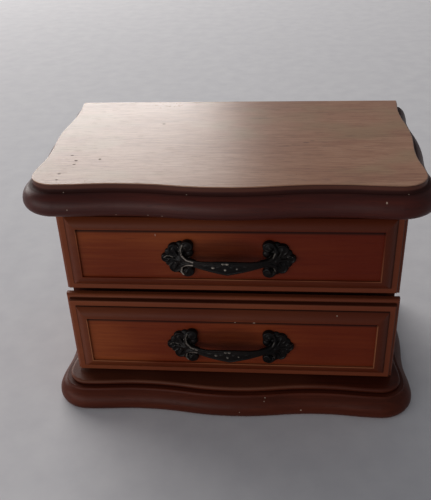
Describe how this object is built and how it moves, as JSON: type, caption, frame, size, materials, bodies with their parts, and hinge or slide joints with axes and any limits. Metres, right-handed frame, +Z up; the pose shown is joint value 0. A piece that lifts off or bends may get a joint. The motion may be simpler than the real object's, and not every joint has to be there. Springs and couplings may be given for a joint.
{
  "type": "jewelry cabinet",
  "caption": "Small tabletop wooden jewelry cabinet with a serpentine moulded top and base, stacked lipped drawers with sunk panels, and dark cast bow pulls.",
  "frame": {"origin": "centre of the underside of the whole cabinet's bounding box", "axes": "+Z up, -Y towards the drawer fronts, +X along the width, to the right of a viewer who faces the drawers"},
  "size_m": [0.273, 0.162, 0.1909],
  "materials": {
    "top_wood": "worn, pale on the top face",
    "base_wood": "dark red-brown satin",
    "front_wood": "red-brown satin",
    "case_wood": "red-brown satin",
    "inner_wood": "plain unstained",
    "felt": "short nap",
    "pull_metal": "blackened, worn on the high spots",
    "screw_steel": "dull"
  },
  "bodies": {
    "cabinet": {"top_board": "top_wood", "base_board": "base_wood", "left_side": "case_wood", "right_side": "case_wood", "back_panel": "case_wood", "divider_shelf": "inner_wood", "front_top_rail": "inner_wood", "rear_top_rail": "inner_wood", "top_screws": "screw_steel", "base_screws": "screw_steel", "back_nails": "screw_steel"},
    "upper_drawer": {"upper_drawer_front": "front_wood", "upper_drawer_left_side": "inner_wood", "upper_drawer_right_side": "inner_wood", "upper_drawer_back": "inner_wood", "upper_drawer_bottom": "inner_wood", "upper_drawer_lining": "felt", "upper_drawer_pull": "pull_metal", "upper_drawer_pull_screws": "screw_steel"},
    "lower_drawer": {"lower_drawer_front": "front_wood", "lower_drawer_left_side": "inner_wood", "lower_drawer_right_side": "inner_wood", "lower_drawer_back": "inner_wood", "lower_drawer_bottom": "inner_wood", "lower_drawer_lining": "felt", "lower_drawer_pull": "pull_metal", "lower_drawer_pull_screws": "screw_steel"}
  },
  "joints": [
    {"name": "upper_drawer_slide", "type": "slide", "parent": "cabinet", "child": "upper_drawer", "axis": [0, -1, 0], "range_m": [0, 0.08]},
    {"name": "lower_drawer_slide", "type": "slide", "parent": "cabinet", "child": "lower_drawer", "axis": [0, -1, 0], "range_m": [-0.0058, 0.0742]}
  ]
}
